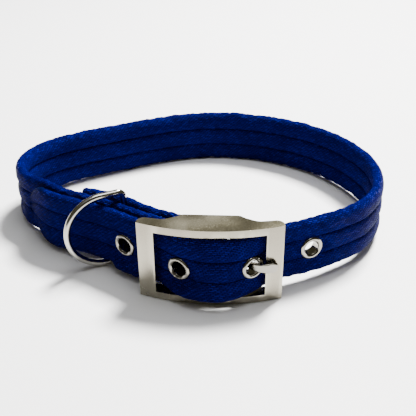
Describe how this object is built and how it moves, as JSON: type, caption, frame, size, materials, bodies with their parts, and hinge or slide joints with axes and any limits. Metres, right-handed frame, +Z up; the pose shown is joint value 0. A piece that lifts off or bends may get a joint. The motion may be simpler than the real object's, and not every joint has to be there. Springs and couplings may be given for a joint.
{
  "type": "dog collar",
  "caption": "Ribbed blue webbing dog collar with a prong buckle, eyelets and a D-ring for a lead, buckled and standing on its edge.",
  "frame": {"origin": "middle of the footprint, on the surface the collar stands on", "axes": "+X along the buckle from the D-ring side to the prong's tip, +Y from the buckle to the back of the loop, +Z up"},
  "size_m": [0.1612, 0.1242, 0.0338],
  "materials": {
    "webbing": "woven, slight sheen",
    "thread": "twisted thread",
    "satin_nickel": "satin nickel plating",
    "bright_nickel": "bright nickel plating"
  },
  "bodies": {
    "strap": {"webbing_strap": "webbing", "eyelet_1": "bright_nickel", "eyelet_2": "bright_nickel", "eyelet_3": "bright_nickel", "eyelet_4": "bright_nickel", "eyelet_washer_1": "satin_nickel", "eyelet_washer_2": "satin_nickel", "eyelet_washer_3": "satin_nickel", "eyelet_washer_4": "satin_nickel", "bar_tack_buckle_side": "thread", "bar_tack_ring_side": "thread"},
    "buckle": {"buckle_frame": "satin_nickel"},
    "prong": {"buckle_prong": "bright_nickel"},
    "ring": {"d_ring": "bright_nickel"}
  },
  "joints": [
    {"name": "buckle_on_fold", "type": "hinge", "parent": "strap", "child": "buckle", "pos_m": [0.00922, -0.04998, 0.01658], "axis": [0, 0.0366, 0.9993], "range_deg": [-0.4, 1]},
    {"name": "prong_on_bar", "type": "hinge", "parent": "buckle", "child": "prong", "pos_m": [0.00922, -0.04998, 0.01658], "axis": [0, -0.0366, -0.9993], "range_deg": [0, 0.6]},
    {"name": "ring_in_fold", "type": "hinge", "parent": "strap", "child": "ring", "pos_m": [-0.02678, -0.03079, 0.01588], "axis": [0, 0.0366, 0.9993], "range_deg": [-3, 66]}
  ]
}
